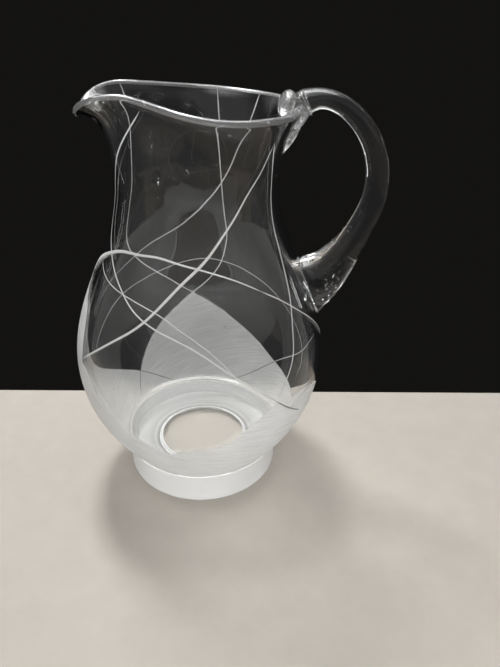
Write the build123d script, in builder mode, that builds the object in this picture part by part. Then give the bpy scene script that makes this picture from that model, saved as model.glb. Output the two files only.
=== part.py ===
from build123d import *
from math import cos, hypot, radians, sin
import os

os.makedirs("parts", exist_ok=True)

# A hand-blown glass jug: a round body with a pulled spout, on a solid foot, with a drawn rod handle.
# Millimetres. The origin is the centre of the foot's underside, +Z is up, the spout points along -X
# and the handle along +X. The jug is the same on both sides of the XZ plane.

# Foot, with a shallow recess under it
foot_bottom_radius = 48.7
foot_waist_radius = 48.9
foot_top_radius = 50.2
foot_height = 21.0
foot_recess_radius = 29.5
foot_recess_depth = 4.0
foot_recess_round = 2.0
foot_edge_round = 1.4

# Body, from its underside up to the neck. Each rise is measured from the level before it.
wall = 3.0
floor_thickness = 4.5
heel_radius = 51.2
heel_rise = 2.6
heel_round = 3.2
inner_heel_round = 5.0
bowl_radius = 66.6
bowl_rise = 24.4
belly_radius = 75.0
belly_rise = 38.0
shoulder_radius = 66.0
shoulder_rise = 38.5
slope_radius = 55.0
slope_rise = 25.5
collar_radius = 47.4
collar_rise = 20.0
neck_radius = 44.1
neck_rise = 20.0
neck_stiffness = 0.7

# Mouth. The rim's rise is that of its middle at the handle.
rim_rise = 38.2
rim_half_thickness = 1.8
joint_step = 0.06

# Levels above the table
heel_height = foot_height + heel_rise
bowl_height = heel_height + bowl_rise
belly_height = bowl_height + belly_rise
shoulder_height = belly_height + shoulder_rise
slope_height = shoulder_height + slope_rise
collar_height = slope_height + collar_rise
neck_height = collar_height + neck_rise
rim_height = neck_height + rim_rise

# The rim's line, from the handle round to the spout's tip. Each row holds the angle from the handle,
# the reach past the neck's radius, the height above the rim's at the handle, the wall's lean from
# upright at the rim, and the shares of its height over which it leaves the neck and takes that lean.
rim_stations = [
    (0.0, 9.2, 0.0, 38.0, 0.40, 0.26),
    (16.0, 9.6, 0.0, 38.0, 0.40, 0.26),
    (32.0, 9.9, 0.0, 38.0, 0.40, 0.26),
    (48.0, 8.6, 0.2, 40.0, 0.40, 0.26),
    (64.0, 7.8, 0.6, 42.0, 0.40, 0.25),
    (80.0, 5.8, 1.5, 42.0, 0.39, 0.24),
    (96.0, 0.2, 3.0, 39.0, 0.38, 0.22),
    (112.0, -4.6, 4.6, 34.0, 0.38, 0.21),
    (128.0, -6.2, 6.0, 27.0, 0.40, 0.20),
    (140.0, -4.9, 7.0, 22.0, 0.44, 0.20),
    (148.0, -0.6, 7.5, 24.0, 0.50, 0.20),
    (154.0, 6.8, 6.7, 42.0, 0.62, 0.23),
    (162.0, 13.1, 2.8, 64.0, 0.77, 0.29),
    (171.0, 14.0, -1.3, 83.0, 0.91, 0.36),
    (180.0, 13.6, -3.3, 90.0, 0.94, 0.37),
]

# Handle, in the XZ plane. It is set out from the straight line between its seats on the rim and on the
# shoulder. Each row holds the share of the way down that line, the distance out from it, the heading in
# degrees turned outward from it, and half the glass in the handle's plane and across.
seal_middle = (-0.0055, 1.98, 91.2, 7.3, 6.8)
rod_stations = [
    (-0.0275, 9.11, 86.2, 5.6, 6.4),
    (-0.0064, 18.91, 71.2, 5.1, 5.8),
    (0.1108, 32.58, 30.2, 5.4, 5.8),
    (0.3079, 41.22, 8.2, 6.4, 6.4),
    (0.5237, 39.76, -13.8, 7.0, 7.0),
    (0.7332, 27.91, -33.8, 8.2, 8.0),
]
pad_middles = [
    (0.8255, 20.93, -48.8, 10.4, 8.8),
    (0.9243, 11.96, -65.8, 14.2, 10.6),
]

# Where the handle is pressed on: the upper seal from the neck to the rim, the lower pad on the shoulder
seal_low_share = 0.36
seal_half_width = 7.0
pad_share = 0.615
pad_half_length = 19.8
pad_half_width = 12.5
root_depth = 0.6


def set_in(points, distance):
    """The points moved square to their own line, towards the axis."""
    moved = []
    for index, (radius, height) in enumerate(points):
        before = points[max(index - 1, 0)]
        after = points[min(index + 1, len(points) - 1)]
        run = after[0] - before[0]
        rise = after[1] - before[1]
        length = hypot(run, rise)
        moved.append((radius - distance * rise / length, height + distance * run / length))
    return moved


def section_plane(angle):
    """An upright plane through the axis, with its X pointing out of the jug at this angle."""
    out = (cos(radians(angle)), sin(radians(angle)), 0)
    side = (sin(radians(angle)), -cos(radians(angle)), 0)
    return Plane(origin=(0, 0, 0), x_dir=out, z_dir=side)


def mirrored(station, about):
    """The same station on the other side of an upright plane through the axis."""
    return (2 * about - station[0],) + station[1:]


def slant(before, station, after):
    """How much longer a radial cut through the wall is than a cut square to it."""
    turn = radians(after[0] - before[0])
    return hypot(1.0, (after[1] - before[1]) / turn / (neck_radius + station[1]))


def rim_edge(station, stretch, side):
    """Where the outer (side 1) or inner (side -1) face of the wall meets the rim."""
    lean = radians(station[3])
    radius = neck_radius + station[1] + side * rim_half_thickness * cos(lean) * stretch
    height = rim_height + station[2] - side * rim_half_thickness * sin(lean)
    return radius, height


def wall_line(station, start_radius, edge):
    """The four control points of one face of the wall, from the neck up to the rim."""
    climb = edge[1] - neck_height
    lean = radians(station[3])
    lower = (start_radius, neck_height + station[4] * climb)
    upper = (edge[0] - station[5] * climb * sin(lean), edge[1] - station[5] * climb * cos(lean))
    return (start_radius, neck_height), lower, upper, edge


def square_plane(place, heading):
    """A plane square to a heading in the XZ plane, with its X on the heading's left."""
    return Plane(origin=(place.X, 0, place.Z), x_dir=(-heading.Z, 0, heading.X), z_dir=(heading.X, 0, heading.Z))


def turned(direction, angle):
    """A direction in the XZ plane, turned from +X towards +Z."""
    across = direction.X * cos(radians(angle)) - direction.Z * sin(radians(angle))
    upward = direction.X * sin(radians(angle)) + direction.Z * cos(radians(angle))
    return Vector(across, 0, upward)


def rod_cut(station):
    """The plane of one cut through the handle, with half its glass in the handle's plane and across."""
    share, distance, turn, half_in_plane, half_across = station
    place = seal_high + handle_line * share + handle_out * distance
    return square_plane(place, turned(handle_line.normalized(), turn)), half_in_plane, half_across


def draw_oval(half_in_plane, half_across):
    """The outline of one cut through the handle, in four quarters."""
    corners = [(1, 0), (0, 1), (-1, 0), (0, -1)]
    fullness = 0.5523
    for number, (start_x, start_y) in enumerate(corners):
        end_x, end_y = corners[(number + 1) % 4]
        Bezier(
            (half_in_plane * start_x, half_across * start_y),
            (half_in_plane * (start_x + fullness * end_x), half_across * (start_y + fullness * end_y)),
            (half_in_plane * (end_x + fullness * start_x), half_across * (end_y + fullness * start_y)),
            (half_in_plane * end_x, half_across * end_y),
        )


# Foot: a turned puck of glass that carries the body on its flat top and stands on its outer ring
with BuildPart() as foot:
    with BuildSketch(Plane.XZ):
        with BuildLine():
            Line((0, foot_recess_depth), (foot_recess_radius, foot_recess_depth))
            Line((foot_recess_radius, foot_recess_depth), (foot_recess_radius, 0))
            Line((foot_recess_radius, 0), (foot_bottom_radius, 0))
            ThreePointArc(
                (foot_bottom_radius, 0), (foot_waist_radius, foot_height / 2), (foot_top_radius, foot_height)
            )
            Line((foot_top_radius, foot_height), (0, foot_height))
            Line((0, foot_height), (0, foot_recess_depth))
        make_face()
    revolve(axis=Axis.Z)
    fillet(foot.edges().group_by(Axis.Z)[2], radius=foot_recess_round)
    fillet(foot.edges().group_by(Axis.Z)[0], radius=foot_edge_round)

# Mouth: lofted round one side from upright cuts through its wall, with one cut past each end so that
# it crosses the plane of symmetry smoothly, then mirrored
stations = [mirrored(rim_stations[1], 0.0)]
stations += rim_stations
stations += [mirrored(rim_stations[-2], 180.0)]

with BuildPart() as mouth:
    for number, station in enumerate(stations):
        before = stations[max(number - 1, 0)]
        after = stations[min(number + 1, len(stations) - 1)]
        stretch = slant(before, station, after)
        outer_edge = rim_edge(station, stretch, 1)
        inner_edge = rim_edge(station, stretch, -1)
        outer_line = wall_line(station, neck_radius - joint_step, outer_edge)
        inner_line = wall_line(station, neck_radius - wall + joint_step, inner_edge)
        lean = radians(station[3])
        crown = rim_half_thickness * 4 / 3
        over_outer = (outer_edge[0] + crown * sin(lean), outer_edge[1] + crown * cos(lean))
        over_inner = (inner_edge[0] + crown * sin(lean), inner_edge[1] + crown * cos(lean))
        with BuildSketch(section_plane(station[0])):
            with BuildLine():
                Bezier(*outer_line)
                Bezier(outer_edge, over_outer, over_inner, inner_edge)
                Bezier(*reversed(inner_line))
                Line(inner_line[0], outer_line[0])
            make_face()
    loft()
    split(bisect_by=Plane.XZ, keep=Keep.BOTTOM)
    mirror(about=Plane.XZ)

# Body: the turned bubble, joined to its mouth at the neck
floor_top = foot_height + floor_thickness
belly_points = [
    (heel_radius, heel_height),
    (bowl_radius, bowl_height),
    (belly_radius, belly_height),
    (shoulder_radius, shoulder_height),
    (slope_radius, slope_height),
    (collar_radius, collar_height),
    (neck_radius, neck_height),
]
inner_points = set_in(belly_points, wall)
inner_points[0] = (heel_radius - heel_rise / 4, floor_top + heel_rise)
inner_points[-1] = (neck_radius - wall, neck_height)
heel_tangent = (bowl_radius - heel_radius, 0.8 * bowl_rise)
inner_tangent = (-heel_tangent[0], -heel_tangent[1])
heel_flat = heel_radius - heel_round
floor_flat = heel_radius - wall - inner_heel_round

with BuildPart() as body:
    with BuildSketch(Plane.XZ):
        with BuildLine():
            Line((0, foot_height), (heel_flat, foot_height))
            Bezier((heel_flat, foot_height), (heel_radius - heel_round / 4, foot_height), belly_points[0])
            Spline(*belly_points, tangents=(heel_tangent, (0, 1)), tangent_scalars=(1, neck_stiffness))
            Line(belly_points[-1], inner_points[-1])
            Spline(*reversed(inner_points), tangents=((0, -1), inner_tangent), tangent_scalars=(neck_stiffness, 1))
            Bezier(inner_points[0], (heel_radius - wall, floor_top), (floor_flat, floor_top))
            Line((floor_flat, floor_top), (0, floor_top))
            Line((0, floor_top), (0, foot_height))
        make_face()
    revolve(axis=Axis.Z)
    add(mouth.part)

# Handle: a rod pressed on at the neck, drawn out, bent over and pressed down on the shoulder
handle_side = rim_stations[0]
neck_line = wall_line(handle_side, neck_radius, rim_edge(handle_side, 1.0, 1))
neck_curve = Bezier(*[(radius, 0, height) for radius, height in neck_line])
belly_curve = Spline(
    *[(radius, 0, height) for radius, height in belly_points],
    tangents=((heel_tangent[0], 0, heel_tangent[1]), (0, 0, 1)),
    tangent_scalars=(1, neck_stiffness),
)
seal_low = neck_curve @ seal_low_share
seal_high = Vector(neck_radius + handle_side[1], 0, rim_height)
seal_rise = (seal_high - seal_low).normalized()
seal_out = Vector(seal_rise.Z, 0, -seal_rise.X)
seal_root = (seal_low + seal_high) / 2 - seal_out * root_depth * wall
seal_half_length = (seal_high - seal_low).length / 2
pad_seat = belly_curve @ pad_share
pad_rise = belly_curve % pad_share
pad_in = Vector(-pad_rise.Z, 0, pad_rise.X)
pad_root = square_plane(pad_seat + pad_in * root_depth * wall, pad_in)
handle_line = pad_seat - seal_high
handle_out = turned(handle_line.normalized(), 90)

rod_cuts = [rod_cut(station) for station in rod_stations]
seal_cuts = [
    (square_plane(seal_root, seal_out), seal_half_length, seal_half_width),
    rod_cut(seal_middle),
    rod_cuts[0],
]
pad_cuts = [rod_cuts[-1]]
pad_cuts += [rod_cut(station) for station in pad_middles]
pad_cuts += [(pad_root, pad_half_length, pad_half_width)]

# The bubble inside the middle of its wall, which trims what of the pad passes through
hollow_points = set_in(belly_points, wall / 2)
with BuildPart() as hollow:
    with BuildSketch(Plane.XZ):
        with BuildLine():
            Spline(*hollow_points, tangents=(heel_tangent, (0, 1)), tangent_scalars=(1, neck_stiffness))
            Line(hollow_points[-1], (0, neck_height))
            Line((0, neck_height), (0, hollow_points[0][1]))
            Line((0, hollow_points[0][1]), hollow_points[0])
        make_face()
    revolve(axis=Axis.Z)

with BuildPart() as handle:
    for cuts in (rod_cuts, seal_cuts, pad_cuts):
        for plane, half_in_plane, half_across in cuts:
            with BuildSketch(plane):
                with BuildLine():
                    draw_oval(half_in_plane, half_across)
                make_face()
        loft()
    with BuildSketch(pad_root):
        with BuildLine():
            draw_oval(pad_half_length, pad_half_width)
        make_face()
    extrude(amount=wall)
    add(body.part, mode=Mode.SUBTRACT)
    add(hollow.part, mode=Mode.SUBTRACT)

foot.part.label = "foot"
body.part.label = "body"
handle.part.label = "handle"

export_step(foot.part, "parts/foot.step")
export_step(body.part, "parts/body.step")
export_step(handle.part, "parts/handle.step")
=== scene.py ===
from math import cos, hypot, pi, radians, sin

import bmesh
import bpy
import numpy as np
from mathutils import Matrix, Vector, geometry


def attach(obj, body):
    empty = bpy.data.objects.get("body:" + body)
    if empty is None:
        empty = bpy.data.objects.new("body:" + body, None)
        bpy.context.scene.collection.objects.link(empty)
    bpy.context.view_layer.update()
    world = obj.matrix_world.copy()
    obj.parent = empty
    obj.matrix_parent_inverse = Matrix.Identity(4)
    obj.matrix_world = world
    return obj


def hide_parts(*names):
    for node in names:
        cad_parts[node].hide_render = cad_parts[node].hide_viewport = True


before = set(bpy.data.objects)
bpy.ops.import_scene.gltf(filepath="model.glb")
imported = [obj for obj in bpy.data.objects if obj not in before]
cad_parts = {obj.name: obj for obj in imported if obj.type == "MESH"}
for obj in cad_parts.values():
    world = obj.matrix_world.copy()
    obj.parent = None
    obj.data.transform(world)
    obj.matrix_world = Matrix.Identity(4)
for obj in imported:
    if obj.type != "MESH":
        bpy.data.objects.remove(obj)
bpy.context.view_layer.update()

# A hand-blown glass jug. Sizes are in millimetres as in the solids; every mesh is scaled to metres when
# it is made. The spout points along -X, the handle along +X, and the far side of the jug is +Y.
MM = 0.001

foot_bottom_radius = 48.7
foot_waist_radius = 48.9
foot_top_radius = 50.2
foot_height = 21.0
foot_recess_radius = 29.5
foot_edge_round = 1.4
foot_recess_depth = 4.0
foot_recess_round = 2.0

wall = 3.0
floor_thickness = 4.5
heel_radius = 51.2
heel_rise = 2.6
heel_round = 3.2
inner_heel_round = 19.0
belly_points = [
    (51.2, 23.6), (66.6, 48.0), (75.0, 86.0), (66.0, 124.5), (55.0, 150.0), (47.4, 170.0), (44.1, 190.0),
]
heel_tangent = (15.4, 19.52)
neck_radius = 44.1
neck_height = 190.0
neck_stiffness = 0.7
rim_height = 228.2
rim_half_thickness = 1.8

# The rim's line: angle from the handle, reach past the neck, height above the rim at the handle, the
# wall's lean, and the shares of its height over which it leaves the neck and takes that lean
rim_stations = [
    (0.0, 9.2, 0.0, 38.0, 0.40, 0.26),
    (16.0, 9.6, 0.0, 38.0, 0.40, 0.26),
    (32.0, 9.9, 0.0, 38.0, 0.40, 0.26),
    (48.0, 8.6, 0.2, 40.0, 0.40, 0.26),
    (64.0, 7.8, 0.6, 42.0, 0.40, 0.25),
    (80.0, 5.8, 1.5, 42.0, 0.39, 0.24),
    (96.0, 0.2, 3.0, 39.0, 0.38, 0.22),
    (112.0, -4.6, 4.6, 34.0, 0.38, 0.21),
    (128.0, -6.2, 6.0, 27.0, 0.40, 0.20),
    (140.0, -4.9, 7.0, 22.0, 0.44, 0.20),
    (148.0, -0.6, 7.5, 24.0, 0.50, 0.20),
    (154.0, 6.8, 6.7, 42.0, 0.62, 0.23),
    (162.0, 13.1, 2.8, 64.0, 0.77, 0.29),
    (171.0, 14.0, -1.3, 83.0, 0.91, 0.36),
    (180.0, 13.6, -3.3, 90.0, 0.94, 0.37),
]

# The handle's cuts on the line from its seat on the rim to its seat on the shoulder: share of the way,
# distance out, heading turned outward from the line, half the glass in its plane and across
handle_cuts = [
    (-0.0055, 1.98, 91.2, 7.3, 6.8),
    (-0.0275, 9.11, 86.2, 5.6, 6.4),
    (-0.0064, 18.91, 71.2, 5.1, 5.8),
    (0.1108, 32.58, 30.2, 5.4, 5.8),
    (0.3079, 41.12, 8.2, 6.3, 6.4),
    (0.5237, 39.66, -13.8, 6.8, 7.0),
    (0.7332, 27.91, -33.8, 8.2, 8.0),
    (0.8255, 20.93, -48.8, 10.4, 8.8),
    (0.9243, 11.96, -65.8, 14.2, 10.6),
]
seal_low_share = 0.36
seal_half_width = 7.0
pad_share = 0.615
pad_half_length = 19.8
pad_half_width = 12.5
root_depth = 0.6

# Where body and foot are fused: the gap between their meshes, and how far up the heel the joint reaches
foot_joint_gap = 0.02
fused_rise = 0.55

# How finely the blown glass, the handle and the foot are divided; the mouth's rows are spread over a set
# length
turns = 252
row_step = 1.9
mouth_length = 42.0
bead_rows, mouth_rows, heel_rows, floor_rows = 9, 23, 6, 14
height_samples = 900
neck_samples, belly_samples = 400, 1200
rod_rows, rod_sides = 190, 72
foot_turns = 240

# Millimetres that a degree round the jug is taken for: along a line on the glass, and where the outer face
# is divided
line_scale = 1.1
face_scale = 1.15

# The frosted field's edge: the step along it, and how near the outer face's other points may come to it
# and to its two ends
frost_step = 1.1
edge_clearance = 0.45
end_clearance = 0.4

# The engraved lines: the step along them, the share of each end that tapers and how blunt it stays, the
# fewest points of a piece, and a height over the whole rim
engraving_step = 1.3
tapered_share = 0.03
blunt_share = 0.25
fewest_points = 4
highest_engraving = 239.0


def cubic_through(places, values, first=None, last=None):
    """A smooth curve through values at the given places; open ends are free to turn."""
    places = np.asarray(places, float)
    values = np.asarray(values, float).reshape(len(places), -1)
    gaps = np.diff(places)
    count = len(places)
    matrix = np.zeros((count, count))
    right = np.zeros((count, values.shape[1]))
    for i in range(1, count - 1):
        matrix[i, i - 1] = gaps[i]
        matrix[i, i] = 2 * (gaps[i - 1] + gaps[i])
        matrix[i, i + 1] = gaps[i - 1]
        right[i] = 3 * gaps[i] * (values[i] - values[i - 1]) / gaps[i - 1]
        right[i] += 3 * gaps[i - 1] * (values[i + 1] - values[i]) / gaps[i]
    if first is None:
        matrix[0, 0], matrix[0, 1] = 2, 1
        right[0] = 3 * (values[1] - values[0]) / gaps[0]
    else:
        matrix[0, 0] = 1
        right[0] = first
    if last is None:
        matrix[-1, -1], matrix[-1, -2] = 2, 1
        right[-1] = 3 * (values[-1] - values[-2]) / gaps[-1]
    else:
        matrix[-1, -1] = 1
        right[-1] = last
    slopes = np.linalg.solve(matrix, right)

    def at(query):
        query = np.atleast_1d(np.asarray(query, float))
        i = np.clip(np.searchsorted(places, query) - 1, 0, count - 2)
        gap = gaps[i][:, None]
        x = ((query - places[i]) / gaps[i])[:, None]
        result = values[i] * (2 * x**3 - 3 * x**2 + 1) + slopes[i] * gap * (x**3 - 2 * x**2 + x)
        return result + values[i + 1] * (3 * x**2 - 2 * x**3) + slopes[i + 1] * gap * (x**3 - x**2)

    return at


def run_along(points):
    """How far along a line of points each of them lies."""
    return np.concatenate([[0.0], np.cumsum(np.hypot(*np.diff(points, axis=0).T))])


def profile_through(points, first, last):
    """A turned profile through its points, by the length along them, and that whole length."""
    run = run_along(points)
    return cubic_through(run, points, first, last), run[-1]


def set_in(points, distance):
    """The points moved square to their own line, towards the axis."""
    moved = []
    for i, (radius, height) in enumerate(points):
        before = points[max(i - 1, 0)]
        after = points[min(i + 1, len(points) - 1)]
        run, rise = after[0] - before[0], after[1] - before[1]
        length = hypot(run, rise)
        moved.append((radius - distance * rise / length, height + distance * run / length))
    return moved


def bezier(controls, t):
    """Points at shares t of a curve of three or four control points, each an array."""
    t = np.asarray(t, float)[..., None]
    if len(controls) == 3:
        a, b, c = controls
        return (1 - t) ** 2 * a + 2 * t * (1 - t) * b + t**2 * c
    a, b, c, d = controls
    return (1 - t) ** 3 * a + 3 * t * (1 - t) ** 2 * b + 3 * t**2 * (1 - t) * c + t**3 * d


def pair(*values):
    return np.array(values, float)


def round_points(radius, height, turn):
    """Points round the axis at the angles of turn, with one radius and height or with one for each."""
    return np.stack([radius * np.cos(turn), radius * np.sin(turn), np.broadcast_to(height, turn.shape)], -1)


# The turned part, outside and inside
floor_top = foot_height + floor_thickness
heel_flat = heel_radius - heel_round
floor_flat = heel_radius - wall - inner_heel_round
tangent = pair(*heel_tangent) / hypot(*heel_tangent)
inner_points = set_in(belly_points, wall)
inner_points[0] = (heel_radius - heel_rise / 4, floor_top + heel_rise)
inner_points[-1] = (neck_radius - wall, neck_height)
outer_belly, outer_length = profile_through(belly_points, tangent, (0, neck_stiffness))
inner_belly, inner_length = profile_through(inner_points, tangent, (0, neck_stiffness))
heel_controls = (
    pair(heel_flat, foot_height),
    pair(heel_radius - heel_round / 4, foot_height),
    pair(*belly_points[0]),
)
heel_length = 4.4
belly_top = heel_length + outer_length
outer_top = belly_top + mouth_length
rim_at = cubic_through([row[0] for row in rim_stations], [row[1:] for row in rim_stations], 0, 0)


def wall_lines(angles, side):
    """Control points of one face of the wall above the neck at each angle, and the rim's edge and lean."""
    turned = np.abs((np.asarray(angles, float) + 180.0) % 360.0 - 180.0)
    reach, rise, lean, low, high = rim_at(turned).T
    step = 0.5
    ahead = rim_at(np.minimum(turned + step, 180.0))[:, 0] - rim_at(np.maximum(turned - step, 0.0))[:, 0]
    width = np.minimum(turned + step, 180.0) - np.maximum(turned - step, 0.0)
    stretch = np.hypot(1.0, ahead / np.radians(width) / (neck_radius + reach))
    lean = np.radians(lean)
    edge_radius = neck_radius + reach + side * rim_half_thickness * np.cos(lean) * stretch
    edge_height = rim_height + rise - side * rim_half_thickness * np.sin(lean)
    start = neck_radius if side > 0 else neck_radius - wall
    climb = edge_height - neck_height
    ones = np.ones_like(climb)
    a = np.stack([start * ones, neck_height * ones], -1)
    b = np.stack([start * ones, neck_height + low * climb], -1)
    c = np.stack([edge_radius - high * climb * np.sin(lean), edge_height - high * climb * np.cos(lean)], -1)
    d = np.stack([edge_radius, edge_height], -1)
    return a, b, c, d, lean


def outer_profile(angles, run):
    """Radius and height of the outer face at each angle and run up from the heel's start."""
    angles, run = np.broadcast_arrays(np.asarray(angles, float), np.asarray(run, float))
    angles, run = angles.ravel(), run.ravel()
    result = np.zeros((len(run), 2))
    heel = run < heel_length
    result[heel] = bezier(heel_controls, run[heel] / heel_length)
    belly = (run >= heel_length) & (run <= belly_top)
    result[belly] = outer_belly(run[belly] - heel_length)
    mouth = run > belly_top
    if mouth.any():
        a, b, c, d, lean = wall_lines(angles[mouth], 1)
        result[mouth] = bezier((a, b, c, d), (run[mouth] - belly_top) / mouth_length)
    return result


def outer_place(angles, run):
    """Points of the outer face in millimetres."""
    profile = outer_profile(angles, run)
    turn = np.radians(np.broadcast_to(angles, np.broadcast(angles, run).shape).ravel())
    return round_points(*profile.T, turn)


def run_at_height(angles, heights):
    """How far up the outer face a height lies, at each angle."""
    result = []
    runs = np.linspace(0.0, outer_top, height_samples)
    for angle, height in zip(np.atleast_1d(angles), np.atleast_1d(heights)):
        profile = outer_profile(angle, runs)
        result.append(np.interp(height, profile[:, 1], runs))
    return np.array(result)


# The frosted field covers everything below this line round the jug. Each stretch runs smoothly through
# its points of angle from the handle and height, and the stretches meet at sharp corners. Engraved lines
# follow the two that have names.
far_field_bow = [(-1, 41), (9, 42), (20, 44), (37, 47), (51, 54), (61, 60), (71, 67), (81, 76), (94, 86)]
far_field_fall = [(94, 86), (102, 77), (110, 70), (116, 64), (124, 54), (132, 45), (137, 39)]
frost_line = [
    [(-180, 146), (-176, 135), (-161, 124), (-157, 112), (-155, 96)],
    [
        (-155, 96), (-147.8, 93.5), (-142.9, 86.8), (-136.9, 79.6), (-126.6, 69.2), (-114.4, 62),
        (-106.2, 56.4),
    ],
    [(-106.2, 56.4), (-95.7, 60.9), (-88.6, 62.6), (-81, 65.6), (-68.3, 78.1), (-56.7, 86.3)],
    [(-56.7, 86.3), (-49, 77.1)],
    [(-49, 77.1), (-44, 80), (-36, 81), (-28, 79), (-20, 73), (-10, 58), (-1, 41)],
    far_field_bow,
    far_field_fall,
    [(137, 39), (148, 45), (161, 54), (172, 66), (174, 78)],
    [(174, 78), (174.6, 110), (176, 132), (180, 146)],
]


def smooth_stretch(points, step):
    """Points about a step apart along a smooth line through points of angle and height."""
    points = np.asarray(points, float)
    gaps = np.hypot(np.diff(points[:, 0]) * line_scale, np.diff(points[:, 1]))
    run = np.concatenate([[0.0], np.cumsum(gaps)])
    at = cubic_through(run, points)
    return at(np.linspace(0.0, run[-1], max(int(run[-1] / step), 2)))


def frost_edge():
    """The whole edge of the frosted field, as angle and run up the outer face."""
    rows = []
    for stretch in frost_line:
        places = smooth_stretch(stretch, frost_step)
        rows.extend(places if not rows else places[1:])
    rows = np.array(rows)
    return np.stack([rows[:, 0], run_at_height(rows[:, 0], rows[:, 1])], -1)


def new_object(name, data):
    made = bpy.data.objects.new(name, data)
    bpy.context.scene.collection.objects.link(made)
    return made


def shade(mesh, smooth):
    mesh.polygons.foreach_set("use_smooth", np.full(len(mesh.polygons), smooth))


def mesh_from(name, verts, faces, materials=(), indices=None):
    """A smooth mesh in metres from millimetre points."""
    mesh = bpy.data.meshes.new(name)
    points = [tuple(point) for point in np.asarray(verts) * MM]
    mesh.from_pydata(points, [], [tuple(int(i) for i in face) for face in faces])
    for material in materials:
        mesh.materials.append(material)
    if indices is not None:
        mesh.polygons.foreach_set("material_index", np.asarray(indices, np.int32))
    shade(mesh, True)
    mesh.update()
    return mesh


def tidy_mesh(mesh, distance=1e-7):
    """Merges doubled points and turns every face outward."""
    shell = bmesh.new()
    shell.from_mesh(mesh)
    bmesh.ops.remove_doubles(shell, verts=shell.verts, dist=distance)
    bmesh.ops.dissolve_degenerate(shell, edges=shell.edges, dist=distance)
    bmesh.ops.recalc_face_normals(shell, faces=shell.faces)
    shell.to_mesh(mesh)
    shell.free()
    mesh.update()
    return mesh


def bands(rings, count, start=0, flipped=False):
    """Faces between rings of count points each, whose points are numbered from start on."""
    faces = []
    for near in range(start, start + (rings - 1) * count, count):
        far = near + count
        for j in range(count):
            k = (j + 1) % count
            face = (near + j, near + k, far + k, far + j)
            faces.append((face[0], *face[:0:-1]) if flipped else face)
    return faces


def fan(start, count, centre, flipped=False):
    """Faces that close a ring of count points, numbered from start on, onto a centre."""
    sides = [(start + j, start + (j + 1) % count) for j in range(count)]
    return [(b, a, centre) if flipped else (a, b, centre) for a, b in sides]


def outer_face():
    """The outer face, cut exactly along the edge of the frosted field: points, faces, which of them are
    frosted, and the angles of its columns."""
    rows = np.concatenate([
        np.linspace(0.0, heel_length, 4)[:-1],
        np.linspace(heel_length, belly_top, int(outer_length / row_step))[:-1],
        np.linspace(belly_top, outer_top, int(mouth_length / row_step) + 1),
    ])
    columns = np.linspace(-180.0, 180.0, turns + 1)
    flattened = pair(face_scale, 1.0)
    edge = frost_edge() * flattened
    grid = np.array([(angle, run) for run in rows for angle in columns])
    flat_grid = grid * flattened
    border = (np.abs(grid[:, 0]) == 180.0) | (grid[:, 1] == rows[0]) | (grid[:, 1] == rows[-1])

    # The grid's points make way where the edge runs close by them
    near = np.zeros(len(grid), bool)
    candidates = np.where(flat_grid[:, 1] < edge[:, 1].max() + edge_clearance)[0]
    for start, end in zip(edge[:-1], edge[1:]):
        along = end - start
        offset = flat_grid[candidates] - start
        share = np.clip(offset @ along / hypot(*along) ** 2, 0, 1)
        gap = np.hypot(*(offset - share[:, None] * along).T)
        near[candidates[gap < edge_clearance]] = True
    kept = flat_grid[~near | border]
    for end in (edge[0], edge[-1]):
        kept = kept[np.hypot(*(kept - end).T) >= end_clearance]

    verts = [Vector(point) for point in (*kept, *edge)]
    sides = [(i, i + 1) for i in range(len(kept), len(verts) - 1)]
    weld = 1e-5
    flat, _, faces, _, _, _ = geometry.delaunay_2d_cdt(verts, sides, [], 0, weld)
    flat = np.array([tuple(point) for point in flat])
    faces = np.array([face for face in faces if len(face) == 3])
    middles = flat[faces].mean(axis=1)
    frosted = middles[:, 1] < np.interp(middles[:, 0], edge[:, 0], edge[:, 1])
    return outer_place(flat[:, 0] / face_scale, flat[:, 1]), faces, frosted, columns[:-1]


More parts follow.
